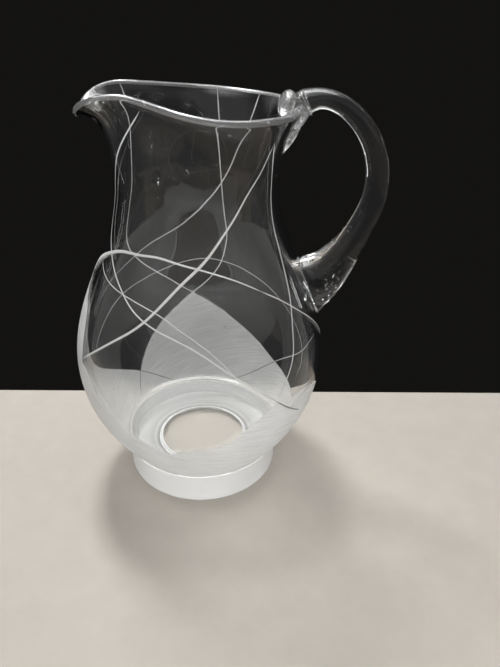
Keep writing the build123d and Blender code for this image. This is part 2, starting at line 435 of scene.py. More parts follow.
def blown_body(clear, frosted, joint, bead):
    """The body's whole shell: outer face, rim, inner face and floor."""
    outer, outer_faces, frost, angles = outer_face()
    turn = np.radians(angles)

    def bent_rings(controls, shares):
        return [round_points(*bezier(controls, np.full(turns, share)).T, turn) for share in shares]

    *_, outer_edge, lean = wall_lines(angles, 1)
    inner_wall = wall_lines(angles, -1)[:4]
    inner_edge = inner_wall[3]
    crown = rim_half_thickness * 4 / 3 * np.stack([np.sin(lean), np.cos(lean)], -1)
    rounded = (outer_edge, outer_edge + crown, inner_edge + crown, inner_edge)
    heel = (pair(*inner_points[0]), pair(heel_radius - wall, floor_top), pair(floor_flat, floor_top))
    inside = bent_rings(rounded, np.linspace(0, 1, bead_rows + 1))
    inside += bent_rings(inner_wall, np.linspace(1, 0, mouth_rows + 1)[1:])
    belly_runs = np.linspace(inner_length, 0, int(inner_length / row_step))[1:]
    inside += [round_points(*inner_belly(run)[0], turn) for run in belly_runs]
    inside += bent_rings(heel, np.linspace(0, 1, heel_rows + 1)[1:])
    floor_radii = np.linspace(floor_flat, 0, floor_rows + 1)[1:-1]
    inside += [round_points(radius, floor_top, turn) for radius in floor_radii]
    under_radii = np.linspace(heel_flat, 0, floor_rows + 1)[:-1]
    under = [round_points(radius, foot_height, turn) for radius in under_radii]

    inside_start = len(outer)
    floor_centre = inside_start + len(inside) * turns
    under_start = floor_centre + 1
    under_centre = under_start + len(under) * turns
    verts = np.concatenate([outer, *inside, [(0, 0, floor_top)], *under, [(0, 0, foot_height)]])
    faces = [tuple(face) for face in outer_faces]
    faces += bands(len(inside), turns, inside_start)
    faces += fan(floor_centre - turns, turns, floor_centre)
    faces += bands(len(under), turns, under_start, flipped=True)
    faces += fan(under_centre - turns, turns, under_centre, flipped=True)

    clear_slot, frosted_slot, joint_slot, bead_slot = range(4)
    slots = np.full(len(faces), clear_slot)
    outside = len(outer_faces)
    slots[:outside][frost] = frosted_slot
    slots[:outside][verts[outer_faces[:, 0], 2] < foot_height + fused_rise] = joint_slot
    slots[outside:outside + bead_rows * turns] = bead_slot
    slots[-len(under) * turns:] = joint_slot
    return tidy_mesh(mesh_from("body_wall", verts, faces, (clear, frosted, joint, bead), slots), 2e-6)


def turned(direction, angle):
    """A direction in the XZ plane, turned from +X towards +Z."""
    c, s = cos(radians(angle)), sin(radians(angle))
    return pair(direction[0] * c - direction[1] * s, direction[0] * s + direction[1] * c)


def at_length(curve, share, step=0.05):
    """The place and direction at a share of a curve's length, from dense points along it."""
    run = run_along(curve)
    behind, place, ahead = [
        pair(*[np.interp(share * run[-1] + shift, run, column) for column in curve.T])
        for shift in (-step, 0.0, step)
    ]
    return place, (ahead - behind) / hypot(*(ahead - behind))


def drawn_handle(clear):
    """The rod handle, from its seal on the neck to its pad on the shoulder."""
    neck_controls = [values[0] for values in wall_lines(pair(0.0), 1)[:4]]
    seal_low, _ = at_length(bezier(neck_controls, np.linspace(0, 1, neck_samples)), seal_low_share)
    seal_high = pair(neck_radius + rim_stations[0][1], rim_height)
    seal_length = hypot(*(seal_high - seal_low))
    rise = (seal_high - seal_low) / seal_length
    out = pair(rise[1], -rise[0])
    seal_root = (seal_low + seal_high) / 2 - out * root_depth * wall
    pad_seat, pad_rise = at_length(outer_belly(np.linspace(0, outer_length, belly_samples)), pad_share)
    pad_in = pair(-pad_rise[1], pad_rise[0])
    line = pad_seat - seal_high
    way = line / hypot(*line)
    line_out = turned(way, 90)

    cuts = [(seal_root, out, seal_length / 2, seal_half_width)]
    for share, distance, swing, half_in, half_across in handle_cuts:
        place = seal_high + line * share + line_out * distance
        cuts.append((place, turned(way, swing), half_in, half_across))
    cuts.append((pad_seat + pad_in * root_depth * wall, pad_in, pad_half_length, pad_half_width))
    places = np.array([cut[0] for cut in cuts])
    headings = np.unwrap([np.arctan2(cut[1][1], cut[1][0]) for cut in cuts])
    values = np.column_stack([places, headings, [cut[2:] for cut in cuts]])

    # The seal and the pad have smooth lines of their own, which run over into the rod's
    run = run_along(places)
    seal = cubic_through(run[:4], values[:4])
    rod = cubic_through(run[1:-1], values[1:-1])
    pad = cubic_through(run[-5:], values[-5:])
    along = np.linspace(0, run[-1], rod_rows)
    into_rod = np.clip((along - run[1]) / (run[2] - run[1]), 0, 1)[:, None]
    into_pad = np.clip((along - run[-3]) / (run[-2] - run[-3]), 0, 1)[:, None]
    sections = seal(along) * (1 - into_rod) + rod(along) * into_rod
    sections = sections * (1 - into_pad) + pad(along) * into_pad

    turn = 2 * pi * np.arange(rod_sides) / rod_sides
    verts = []
    for x, z, heading, half_in, half_across in sections:
        in_plane = half_in * np.cos(turn)
        ring = (x - sin(heading) * in_plane, half_across * np.sin(turn), z + cos(heading) * in_plane)
        verts.append(np.stack(ring, -1))
    ends = [(x, 0, z) for x, z in (sections[0][:2], sections[-1][:2])]
    first_centre = rod_rows * rod_sides
    faces = bands(rod_rows, rod_sides)
    faces += fan(0, rod_sides, first_centre, flipped=True)
    faces += fan(first_centre - rod_sides, rod_sides, first_centre + 1)
    return tidy_mesh(mesh_from("handle_rod", np.concatenate([*verts, ends]), faces, (clear,)))


# Lumps of the hot glass where the handle was pressed on and pinched: place, heading of the lump's own
# length in the plane of the handle, and half its length, thickness and width
handle_lumps = {
    "seal_tail": ((47.2, 0.0, 214.5), 83.0, 10.2, 2.9, 4.4),
    "seal_leg": ((50.6, -2.0, 218.2), 68.0, 12.8, 3.9, 3.6),
    "seal_knob": ((47.4, 0.0, 230.4), 72.0, 6.2, 4.4, 7.4),
    "near_pinch": ((46.6, -5.4, 228.6), 78.0, 6.0, 3.2, 3.0),
    "far_pinch": ((46.6, 5.4, 228.6), 78.0, 6.0, 3.2, 3.0),
    "near_cheek": ((53.4, -4.4, 224.8), 62.0, 7.4, 4.4, 3.4),
    "far_cheek": ((53.4, 4.4, 224.8), 62.0, 7.4, 4.4, 3.4),
    "pinched_ridge": ((57.4, 0.0, 230.2), 114.0, 6.9, 1.5, 7.4),
    "pad_crease": ((86.4, 0.0, 144.9), -48.0, 7.9, 1.0, 8.2),
}


def lump(place, heading, half_length, half_thick, half_wide, material):
    """A smooth lump of glass, longest along its heading in the plane of the handle."""
    shape = bmesh.new()
    bmesh.ops.create_uvsphere(shape, u_segments=40, v_segments=24, radius=1.0)
    turn = Matrix.Rotation(-radians(heading), 4, "Y")
    size = Matrix.Diagonal((half_length * MM, half_wide * MM, half_thick * MM, 1.0))
    move = Matrix.Translation(Vector(place) * MM)
    bmesh.ops.transform(shape, matrix=move @ turn @ size, verts=shape.verts)
    mesh = bpy.data.meshes.new("lump")
    shape.to_mesh(mesh)
    shape.free()
    mesh.materials.append(material)
    return mesh


def join_glass(body_mesh, handle_mesh, pressed):
    """Body, handle and the lumps round its ends as the one piece of glass that they are once pressed on."""
    body = new_object("jug_glass", body_mesh)
    added = [new_object("handle_rod", handle_mesh)]
    added += [new_object(name, lump(*values, pressed)) for name, values in handle_lumps.items()]
    for part in added:
        union = body.modifiers.new(part.name, "BOOLEAN")
        union.operation = "UNION"
        union.object = part
        union.solver = "MANIFOLD"
        union.material_mode = "TRANSFER"
    depsgraph = bpy.context.evaluated_depsgraph_get()
    joined = bpy.data.meshes.new_from_object(body.evaluated_get(depsgraph))
    body.modifiers.clear()
    body.data = joined
    for part in added:
        bpy.data.objects.remove(part)
    joined.name = "jug_glass"
    shade(joined, True)
    joined.set_sharp_from_angle(angle=radians(60))
    return body


def foot_puck(clear, frosted, stood_on, ground_edge, joint):
    """The turned foot: blasted on its side, on the ring that it stands on and, finer, on the recess's edge;
    clear in the shallow recess; fused to the body over it."""
    edge, soft = foot_edge_round, foot_recess_round
    fused_top = foot_height - foot_joint_gap
    innermost = 2.0

    def arc(centre, height, start, end, steps=7):
        sweep = np.radians(np.linspace(start, end, steps))
        return [(centre + edge * cos(t), height + edge * sin(t)) for t in sweep]

    disc = [(radius, foot_recess_depth) for radius in np.linspace(innermost, foot_recess_radius - soft, 12)]
    recess_round = arc(foot_recess_radius - soft, foot_recess_depth - soft, 90, 0)[1:]
    inner_edge = arc(foot_recess_radius + edge, edge, 180, 270)
    flat_radii = np.linspace(foot_recess_radius + edge, foot_bottom_radius - edge, 10)[1:]
    flat = [(radius, 0.0) for radius in flat_radii]
    outer_edge = arc(foot_bottom_radius - edge, edge, -90, 0)[1:]
    side_at = cubic_through(
        [0.0, foot_height / 2, foot_height], [(foot_bottom_radius,), (foot_waist_radius,), (foot_top_radius,)]
    )
    softened = 0.4
    side = [(side_at(height)[0][0], height) for height in np.linspace(edge, foot_height - softened, 16)[1:]]
    side += [(foot_top_radius - 0.15, foot_height - 0.06)]
    over_radii = [foot_top_radius - 0.5, *np.linspace(foot_top_radius - 2.0, innermost, 20)]
    over = [(radius, fused_top) for radius in over_radii]

    # Each stretch of the profile with its finish; the ground edge ends on the inner round
    ground_rows = 5
    stretches = (
        (disc, clear),
        (recess_round + inner_edge[:ground_rows], ground_edge),
        (inner_edge[ground_rows:] + flat + outer_edge, stood_on),
        (side, frosted),
        (over, joint),
    )
    finishes = (clear, frosted, stood_on, ground_edge, joint)
    profile = [point for stretch, _ in stretches for point in stretch]
    slots = [finishes.index(finish) for stretch, finish in stretches for _ in stretch]
    turn = 2 * pi * np.arange(foot_turns) / foot_turns
    rings = [round_points(radius, height, turn) for radius, height in profile]
    first_centre = len(profile) * foot_turns
    faces = bands(len(profile), foot_turns, flipped=True)
    faces += fan(0, foot_turns, first_centre)
    faces += fan(first_centre - foot_turns, foot_turns, first_centre + 1, flipped=True)
    slots = np.repeat(slots[:-1] + [slots[0], slots[-1]], foot_turns)
    verts = np.concatenate([*rings, [(0, 0, foot_recess_depth), (0, 0, fused_top)]])
    mesh = tidy_mesh(mesh_from("foot_puck", verts, faces, finishes, slots))
    mesh.set_sharp_from_angle(angle=radians(50))
    return new_object("foot_puck", mesh)


# The engraved lines: the line's width at its start, middle and end, and its points of angle from the
# handle and height
engraved_lines = {
    "rim_to_heel": ((0.8, 0.9, 0.8), [
        (-131, 231), (-141, 222), (-148, 212), (-157, 198), (-164, 170), (-152, 158), (-143, 151),
        (-134, 145), (-125, 138), (-117, 134), (-110, 131), (-97, 126), (-86, 118), (-75, 107), (-63, 94),
        (-50, 78), (-38, 67),
    ]),
    "far_arch_to_handle": ((0.8, 0.8, 0.7), [
        (148, 237), (148, 209), (153, 185), (152, 160), (147, 148), (139, 136), (131, 126), (117, 110),
        (106, 98), *far_field_bow[::-1],
    ]),
    "near_hair": ((0.6, 0.6, 0.5), [
        (-163, 152), (-156, 148), (-148, 146), (-136, 144), (-127, 143), (-118, 141), (-108, 138),
        (-102, 134), (-94, 129), (-85, 121), (-79, 113), (-75, 106), (-71, 100),
    ]),
    "near_shoulder_band": ((2.8, 1.25, 0.6), [
        (-183, 132), (-179, 140), (-174, 147), (-166, 153), (-153, 159), (-141, 163), (-126, 164),
        (-114, 165), (-103, 163), (-92, 161), (-81, 158), (-68, 153), (-56, 146),
    ]),
    "near_shoulder_sweep": ((0.6, 0.9, 0.5), [
        (-57, 146.6), (-56, 146), (-43, 137), (-31, 126), (-20, 115), (-10, 102), (0, 90), (6, 82),
        (12, 70), (23, 57), (36, 45), (44, 37), (52, 31), (66, 24),
    ]),
    "far_low_arch": ((0.6, 0.6, 0.6), [
        (167, 70), (163, 76), (155, 84), (146, 93), (137, 100), (126, 104), (115, 108), (104, 112),
        (94, 115), (84, 116), (74, 114), (65, 111), (56, 106), (47, 101), (39, 94), (30, 87), (23, 79),
        (15, 71), (10, 61), (9, 51),
    ]),
    "near_sweep": ((0.6, 1.5, 1.1), [
        (-40, 217), (-44, 205), (-55, 195), (-63, 186), (-73, 177), (-81, 169), (-90, 161), (-98, 155),
        (-105, 148), (-112, 140), (-120, 131), (-128, 124), (-139, 114), (-154, 99),
    ]),
    "far_fall": ((0.7, 0.8, 0.6), [
        (75, 229), (72, 215), (70, 202), (69, 178), (70, 149), (70, 140), (73, 126), (76, 114), (82, 101),
        (88, 92), *far_field_fall, (143, 31), (148, 25),
    ]),
    "far_sweep": ((0.7, 0.9, 0.7), [
        (46, 229), (46, 216), (52, 205), (57, 194), (68, 179), (81, 165), (93, 154), (101, 146), (113, 139),
        (126, 133), (133, 128), (141, 123), (150, 118), (155, 114), (157, 107),
    ]),
    "near_right_fall": ((0.8, 1.0, 0.8), [
        (-40, 217), (-32, 200), (-30, 192), (-32, 176), (-31, 165), (-33, 153), (-36, 140), (-39, 131),
        (-42, 123), (-44, 114), (-47, 105), (-51, 99), (-55, 92), (-57, 89),
    ]),
    "far_field_edge": ((0.7, 0.6, 0.5), [
        (174, 70), (172, 65), (161, 54), (148, 45), (137, 39), (123, 30), (112, 25),
    ]),
}


def over_frost(places):
    """Which places of angle and height lie on the frosted field."""
    rows = np.concatenate([smooth_stretch(stretch, frost_step) for stretch in frost_line])
    return places[:, 1] < np.interp(places[:, 0], rows[:, 0], rows[:, 1])


def evened(places, reach=4):
    """The points with the small wobbles between them smoothed out; the ends stay."""
    window = 3 * reach
    weights = np.exp(-0.5 * (np.arange(-window, window + 1) / reach) ** 2)
    before = 2 * places[0] - places[window:0:-1]
    after = 2 * places[-1] - places[-2:-window - 2:-1]
    padded = np.concatenate([before, places, after])
    smooth = [np.convolve(column, weights / weights.sum(), "valid") for column in padded.T]
    return np.stack(smooth, -1)


def engraving_paths(on_frost):
    """The engraved lines, on the clear or on the frosted glass, as smooth paths on the outer face. Each
    point's radius is half the line's width there."""
    curve = bpy.data.curves.new("engraving_paths", "CURVE")
    curve.dimensions = "3D"
    for widths, points in engraved_lines.values():
        places = evened(smooth_stretch(points, engraving_step))
        runs = run_at_height(places[:, 0], np.minimum(places[:, 1], highest_engraving))
        placed = outer_place(places[:, 0], runs) * MM
        share = np.linspace(0, 1, len(placed))
        taper = np.clip(np.minimum(share, 1 - share) / tapered_share, blunt_share, 1.0)
        radius = np.interp(share, [0, 0.5, 1], widths) * taper * 0.5 * MM
        wanted = over_frost(places) == on_frost
        changes = np.flatnonzero(np.diff(np.concatenate([[0], wanted.astype(int), [0]])))
        for start, end in zip(changes[::2], changes[1::2]):
            start, end = max(start - 1, 0), min(end + 1, len(placed))
            if end - start < fewest_points:
                continue
            spline = curve.splines.new("POLY")
            spline.points.add(end - start - 1)
            weighted = np.column_stack([placed[start:end], np.ones(end - start)])
            spline.points.foreach_set("co", weighted.ravel())
            spline.points.foreach_set("radius", radius[start:end])
    return new_object("engraving_paths", curve)


def add_node(tree, kind, inputs=(), **settings):
    """A node with its settings made, then its inputs set, or linked where a socket is given. Returns its
    outputs."""
    node = tree.nodes.new(kind)
    for name, value in settings.items():
        setattr(node, name, value)
    for slot, value in dict(inputs).items():
        if isinstance(value, bpy.types.NodeSocket):
            tree.links.new(value, node.inputs[slot])
        else:
            node.inputs[slot].default_value = value
    return node.outputs


def maths(tree, operation, *values):
    return add_node(tree, "ShaderNodeMath", dict(enumerate(values)), operation=operation)[0]


def triple(tree, *values):
    return add_node(tree, "ShaderNodeCombineXYZ", dict(enumerate(values)))[0]


def new_tree(kind, name, inputs, outputs):
    """An empty tree with its named inputs, each a kind of socket and its own value, and its named outputs.
    Returns the tree and what it is given."""
    tree = bpy.data.node_groups.new(name, kind)
    for label, (socket_kind, value) in inputs.items():
        socket = tree.interface.new_socket(label, in_out="INPUT", socket_type="NodeSocket" + socket_kind)
        if value is not None:
            socket.default_value = value
    for label, socket_kind in outputs.items():
        tree.interface.new_socket(label, in_out="OUTPUT", socket_type="NodeSocket" + socket_kind)
    return tree, tree.nodes.new("NodeGroupInput").outputs


def end_tree(tree, shape, finish, label):
    """Makes the instances real, gives the shape its finish and puts it out."""
    whole = add_node(tree, "GeometryNodeRealizeInstances", {"Geometry": shape})
    dressed = add_node(tree, "GeometryNodeSetMaterial", {"Geometry": whole["Geometry"], "Material": finish})
    add_node(tree, "NodeGroupOutput", {label: dressed["Geometry"]})


def grown(holder, tree, **values):
    """The mesh that a tree makes of what the holder holds; the holder and its modifier go."""
    modifier = holder.modifiers.new(tree.name, "NODES")
    modifier.node_group = tree
    sockets = {item.name: item.identifier for item in tree.interface.items_tree if item.in_out == "INPUT"}
    for label, value in values.items():
        modifier[sockets[label]] = value
    mesh = bpy.data.meshes.new_from_object(holder.evaluated_get(bpy.context.evaluated_depsgraph_get()))
    bpy.data.objects.remove(holder)
    return mesh


def engraving_tree():
    """Lays a shallow ground groove along every path, square to the glass under it."""
    tree, given = new_tree("GeometryNodeTree", "ground_lines", {
        "Paths": ("Geometry", None),
        "Glass": ("Object", None),
        "Finish": ("Material", None),
        "Depth share": ("Float", 0.12),
        "Sides": ("Int", 10),
        "Sunk": ("Float", 0.00002),
    }, {"Lines": "Geometry"})
    glass = add_node(tree, "GeometryNodeObjectInfo", {"Object": given["Glass"]})
    facing = add_node(tree, "GeometryNodeInputNormal")
    nearest = {"Mesh": glass["Geometry"], "Value": facing["Normal"]}
    square = add_node(tree, "GeometryNodeSampleNearestSurface", nearest, data_type="FLOAT_VECTOR")["Value"]
    inward = maths(tree, "MULTIPLY", given["Sunk"], -1.0)
    sink = add_node(tree, "ShaderNodeVectorMath", {0: square, "Scale": inward}, operation="SCALE")
    seat = add_node(tree, "GeometryNodeSetPosition", {"Geometry": given["Paths"], "Offset": sink["Vector"]})
    upright = {"Curve": seat["Geometry"], "Normal": square}
    path = add_node(tree, "GeometryNodeSetCurveNormal", upright, mode="FREE")
    ring = add_node(tree, "GeometryNodeCurvePrimitiveCircle", {"Radius": 1.0, "Resolution": given["Sides"]})
    flat = triple(tree, given["Depth share"], 1.0, 1.0)
    groove = add_node(tree, "GeometryNodeTransform", {"Geometry": ring["Curve"], "Scale": flat})
    width = add_node(tree, "GeometryNodeInputRadius")["Radius"]
    swept = {"Curve": path["Curve"], "Profile Curve": groove["Geometry"], "Scale": width, "Fill Caps": True}
    line = add_node(tree, "GeometryNodeCurveToMesh", swept)
    end_tree(tree, line["Mesh"], given["Finish"], "Lines")
    return tree


def engrave(name, tree, glass, material, on_frost):
    """Engraved lines as one mesh, half sunk into the glass."""
    mesh = grown(engraving_paths(on_frost), tree, Glass=glass, Finish=material)
    mesh.name = name
    shade(mesh, True)
    return new_object(name, tidy_mesh(mesh, 1e-6))


# Larger bubbles in the wall that stand out: angle from the handle, height and radius
marked_seeds = [
    (-115.8, 200.1, 1.10), (-96.2, 206.9, 0.75), (-95.0, 205.6, 0.45), (-117.8, 211.2, 0.30),
    (-109.8, 218.0, 0.26), (-121.9, 213.8, 0.30), (-87.1, 211.6, 0.32), (-81.3, 212.5, 0.34),
    (-78.2, 209.8, 0.36), (-130.7, 198.4, 0.30), (-49.9, 185.3, 0.30), (-79.9, 147.4, 0.70),
    (-79.0, 145.6, 0.45), (-93.2, 152.4, 0.40), (-94.9, 157.3, 0.34), (98.5, 181.2, 0.50),
    (78.8, 92.0, 0.55), (79.4, 88.0, 0.40), (123.6, 60.0, 0.45), (126.0, 57.0, 0.60),
    (122.0, 55.0, 0.40), (128.0, 53.0, 0.35), (119.5, 58.5, 0.30), (45.0, 66.0, 0.45),
]
loose_seeds, pad_seeds, sheet_seeds, seal_seeds = 150, 34, 40, 40


def seed_places():
    """Every bubble's centre in millimetres, in the middle of the wall or in the handle, and its radius."""
    chance = np.random.RandomState(3)

    # In the wall: loose ones, mostly small and fewer towards the foot, and the marked ones
    angles = chance.uniform(-180, 180, loose_seeds)
    heights = 228 - 185 * chance.uniform(0, 1, loose_seeds) ** 1.4
    sizes = 0.12 + 0.34 * chance.uniform(0, 1, loose_seeds) ** 2.5
    marked_angles, marked_heights, marked_sizes = np.array(marked_seeds).T
    angles = np.concatenate([angles, marked_angles])
    runs = run_at_height(angles, np.concatenate([heights, marked_heights]))
    step = 0.3
    around = outer_place(angles + step, runs) - outer_place(angles - step, runs)
    upward = outer_place(angles, runs + step) - outer_place(angles, runs - step)
    facing = np.cross(around, upward)
    facing /= np.linalg.norm(facing, axis=1)[:, None]
    in_wall = outer_place(angles, runs) - facing * wall / 2

    # In the handle: a cluster in the pad, a sheet where the pad meets the wall, and a cluster in the seal
    in_pad = chance.normal(size=(pad_seeds, 3)) * pair(3.2, 3.0, 4.6) + pair(76.0, 0.0, 127.5)
    share = chance.uniform(0, 1, sheet_seeds)
    sheet = np.stack([58.5 + 12.5 * share, chance.uniform(-7, 7, sheet_seeds), 139.0 - 31.0 * share], -1)
    sheet[:, 0] += chance.uniform(-0.8, 0.8, sheet_seeds)
    in_seal = chance.normal(size=(seal_seeds, 3)) * pair(3.0, 3.0, 3.4) + pair(52.0, 0.0, 227.0)
    handle_sizes = 0.15 + 0.40 * chance.uniform(0, 1, pad_seeds + sheet_seeds + seal_seeds) ** 2
    places = np.concatenate([in_wall, in_pad, sheet, in_seal])
    return places, np.concatenate([sizes, marked_sizes, handle_sizes])


def seed_tree():
    """Puts a round bubble of its own size at every point that it is given."""
    tree, given = new_tree("GeometryNodeTree", "glass_seeds", {
        "Points": ("Geometry", None),
        "Roundness": ("Int", 2),
        "Finish": ("Material", None),
    }, {"Seeds": "Geometry"})
    points = add_node(tree, "GeometryNodeMeshToPoints", {"Mesh": given["Points"]})
    ball = add_node(tree, "GeometryNodeMeshIcoSphere", {"Radius": MM, "Subdivisions": given["Roundness"]})
    size = add_node(tree, "GeometryNodeInputNamedAttribute", {"Name": "size"}, data_type="FLOAT")
    sown = {"Points": points["Points"], "Instance": ball["Mesh"], "Scale": size["Attribute"]}
    seeds = add_node(tree, "GeometryNodeInstanceOnPoints", sown)
    end_tree(tree, seeds["Instances"], given["Finish"], "Seeds")
    return tree


def sow_seeds(glass, material):
    """Adds the bubbles to the glass as small hollows."""
    places, sizes = seed_places()
    points = bpy.data.meshes.new("seed_points")
    points.from_pydata([tuple(place) for place in places * MM], [], [])
    points.attributes.new("size", "FLOAT", "POINT").data.foreach_set("value", sizes)
    mesh = grown(new_object("seed_points", points), seed_tree(), Roundness=2, Finish=material)
    whole = bmesh.new()
    whole.from_mesh(mesh)
    bmesh.ops.recalc_face_normals(whole, faces=whole.faces)
    bmesh.ops.reverse_faces(whole, faces=whole.faces)
    for face in whole.faces:
        face.smooth = True
        face.material_index = 0
    whole.from_mesh(glass.data)
    whole.to_mesh(glass.data)
    whole.free()
    glass.data.update()


def round_the_axis(tree):
    """Angle round the jug's axis in radians, distance from the axis and height in metres, and the place."""
    place = add_node(tree, "ShaderNodeTexCoord")["Object"]
    split = add_node(tree, "ShaderNodeSeparateXYZ", {0: place})
    angle = maths(tree, "ARCTAN2", split["Y"], split["X"])
    return angle, reach_of(tree, split["X"], split["Y"]), split["Z"], place


def reach_of(tree, across, upward):
    """How far a place lies from where both of its coordinates are nought."""
    square = maths(tree, "MULTIPLY", across, across)
    return maths(tree, "SQRT", maths(tree, "MULTIPLY_ADD", upward, upward, square))


def noise_of(tree, vector, scale, detail, rough=0.5):
    inputs = {"Vector": vector, "Scale": scale, "Detail": detail, "Roughness": rough}
    return add_node(tree, "ShaderNodeTexNoise", inputs)["Fac"]


def ranged(tree, value, low, high, least=0.0, most=1.0, kind="LINEAR"):
    """From least to most as the value goes from low to high."""
    inputs = {"Value": value, "From Min": low, "From Max": high, "To Min": least, "To Max": most}
    return add_node(tree, "ShaderNodeMapRange", inputs, interpolation_type=kind)["Result"]


def mixed(tree, share, first, second, blend="MIX"):
    """Two tones in one, by their share."""
    inputs = {"Factor": share, "A": first, "B": second}
    return add_node(tree, "ShaderNodeMix", inputs, data_type="RGBA", blend_type=blend)["Result"]


def blown_ripple():
    """The slow waves of blown glass and the level marks that turning it leaves."""
    inputs = {"Wave scale": ("Float", 30.0), "Ring share": ("Float", 0.4)}
    tree, given = new_tree("ShaderNodeTree", "blown_ripple", inputs, {"Height": "Float"})
    angle, _, height, place = round_the_axis(tree)
    wave = noise_of(tree, place, given["Wave scale"], 1.5)
    slow_turn = maths(tree, "MULTIPLY", angle, 0.5)
    rings = noise_of(tree, triple(tree, slow_turn, 0.0, maths(tree, "MULTIPLY", height, 130.0)), 1.0, 1.0)
    marked = maths(tree, "MULTIPLY_ADD", rings, given["Ring share"], wave)
    add_node(tree, "NodeGroupOutput", {"Height": marked})
    return tree


def matte_grain():
    """A blasted face's tone: fine grain, cloudy patches and brushed streaks that run a little downhill."""
    tree, given = new_tree("ShaderNodeTree", "matte_grain", {
        "Grain scale": ("Float", 2600.0),
        "Streak scale": ("Float", 1150.0),
        "Streak share": ("Float", 0.5),
        "Slope": ("Float", 0.018),
    }, {"Tone": "Float", "Height": "Float"})
    angle, _, height, place = round_the_axis(tree)
    grain = noise_of(tree, place, given["Grain scale"], 2.0, 0.7)
    cloud = noise_of(tree, place, 45.0, 2.0)
    level = maths(tree, "MULTIPLY_ADD", angle, given["Slope"], height)
    fine = maths(tree, "MULTIPLY", level, given["Streak scale"])
    streak = noise_of(tree, triple(tree, maths(tree, "MULTIPLY", angle, 3.0), 0.0, fine), 1.0, 3.0, 0.65)
    brushed = maths(tree, "MULTIPLY", ranged(tree, streak, 0.36, 0.66), given["Streak share"])
    base = maths(tree, "MULTIPLY_ADD", grain, 0.35, maths(tree, "MULTIPLY", cloud, 0.35))
    tone = maths(tree, "MINIMUM", maths(tree, "ADD", base, brushed), 1.0)
    height = maths(tree, "MULTIPLY_ADD", grain, 0.5, brushed)
    add_node(tree, "NodeGroupOutput", {"Tone": tone, "Height": height})
    return tree


ripple_group = blown_ripple()
grain_group = matte_grain()


def shader(name, colour, roughness, ior, clear_share):
    """A material with its plain values set; returns it, its tree and its surface."""
    material = bpy.data.materials.new(name)
    material.use_nodes = True
    surface = material.node_tree.nodes["Principled BSDF"]
    surface.inputs["Base Color"].default_value = (*colour, 1)
    surface.inputs["Roughness"].default_value = roughness
    surface.inputs["IOR"].default_value = ior
    surface.inputs["Transmission Weight"].default_value = clear_share
    return material, material.node_tree, surface


def let_light_through(tree, surface, share):
    """Lamps light what is in and under the glass; what the eye sees is still bent by it."""
    path = add_node(tree, "ShaderNodeLightPath")
    passing = add_node(tree, "ShaderNodeBsdfTransparent", {"Color": (share, share, share, 1)})
    shaders = {0: path["Is Shadow Ray"], 1: surface.outputs[0], 2: passing[0]}
    either = add_node(tree, "ShaderNodeMixShader", shaders)
    tree.links.new(either[0], tree.nodes["Material Output"].inputs["Surface"])


def bump_from(tree, surface, height, strength, distance):
    bump = add_node(tree, "ShaderNodeBump", {"Strength": strength, "Distance": distance, "Height": height})
    tree.links.new(bump["Normal"], surface.inputs["Normal"])


def blown_glass(name, colour, roughness, clear_share, wave_scale, ring_share, strength):
    """Blown glass, with the faint ripple that the blowing leaves."""
    material, tree, surface = shader(name, colour, roughness, 1.5, clear_share)
    waves = {"Wave scale": wave_scale, "Ring share": ring_share}
    ripple = add_node(tree, "ShaderNodeGroup", waves, node_tree=ripple_group)
    bump_from(tree, surface, ripple["Height"], strength, 0.001)
    let_light_through(tree, surface, 0.74)
    return material


def drawn_glass(name, fineness, strength, clear_share):
    """The handle's glass, drawn out hot: fine streaks that run along its bow."""
    bow_centre = (0.064, 0.182)
    material, tree, surface = shader(name, (0.985, 0.99, 0.985), 0.0, 1.5, clear_share)
    split = add_node(tree, "ShaderNodeSeparateXYZ", {0: add_node(tree, "ShaderNodeTexCoord")["Object"]})
    across = maths(tree, "SUBTRACT", split["X"], bow_centre[0])
    upward = maths(tree, "SUBTRACT", split["Z"], bow_centre[1])
    turn = maths(tree, "ARCTAN2", upward, across)
    out = maths(tree, "MULTIPLY", reach_of(tree, across, upward), fineness)
    side = maths(tree, "MULTIPLY", split["Y"], fineness)
    streaks = noise_of(tree, triple(tree, out, side, maths(tree, "MULTIPLY", turn, 0.7)), 1.0, 2.0)
    bump_from(tree, surface, streaks, strength, 0.001)
    let_light_through(tree, surface, 0.72)
    return material


def painted_ring_light_and_shade(tree):
    """Painted light and shade round the recess: darker next to it, then a pale line, then greyer and slowly
    paler outward.
    """
    widest = 0.05
    share = maths(tree, "DIVIDE", round_the_axis(tree)[1], widest)
    rings = add_node(tree, "ShaderNodeValToRGB", {"Fac": share})["Color"]
    steps = rings.node.color_ramp.elements
    steps[0].color = (0.45, 0.43, 0.40, 1)
    steps[1].position = 0.96
    steps[1].color = (0.98, 0.98, 0.98, 1)
    for at, tone in ((0.630, 0.40), (0.675, 0.82), (0.70, 0.62), (0.78, 0.80)):
        steps.new(at).color = (tone, tone, tone, 1)
    return rings


def blasted_glass(name, dark, pale, clear_share, roughness, streak_share, strength, passing, painted_rings=False):
    """Glass with its outer face blasted matte, between a dark and a pale tone."""
    material, tree, surface = shader(name, pale, roughness, 1.45, clear_share)
    grain = add_node(tree, "ShaderNodeGroup", {"Streak share": streak_share}, node_tree=grain_group)
    tone = mixed(tree, grain["Tone"], (*dark, 1), (*pale, 1))
    # Painted light and shade in rings round the foot's recess
    if painted_rings:
        tone = mixed(tree, 1.0, tone, painted_ring_light_and_shade(tree), "MULTIPLY")
    tree.links.new(tone, surface.inputs["Base Color"])
    spread = ranged(tree, grain["Tone"], 0.0, 1.0, roughness + 0.12, roughness - 0.12)
    tree.links.new(spread, surface.inputs["Roughness"])
    bump_from(tree, surface, grain["Height"], strength, 0.0002)
    let_light_through(tree, surface, passing)
    return material


def fused_joint():
    """Where two pieces of glass are fused: light goes straight on."""
    material, _, surface = shader("fused_joint", (1, 1, 1), 0.0, 1.0, 1.0)
    surface.inputs["Alpha"].default_value = 0.0
    return material


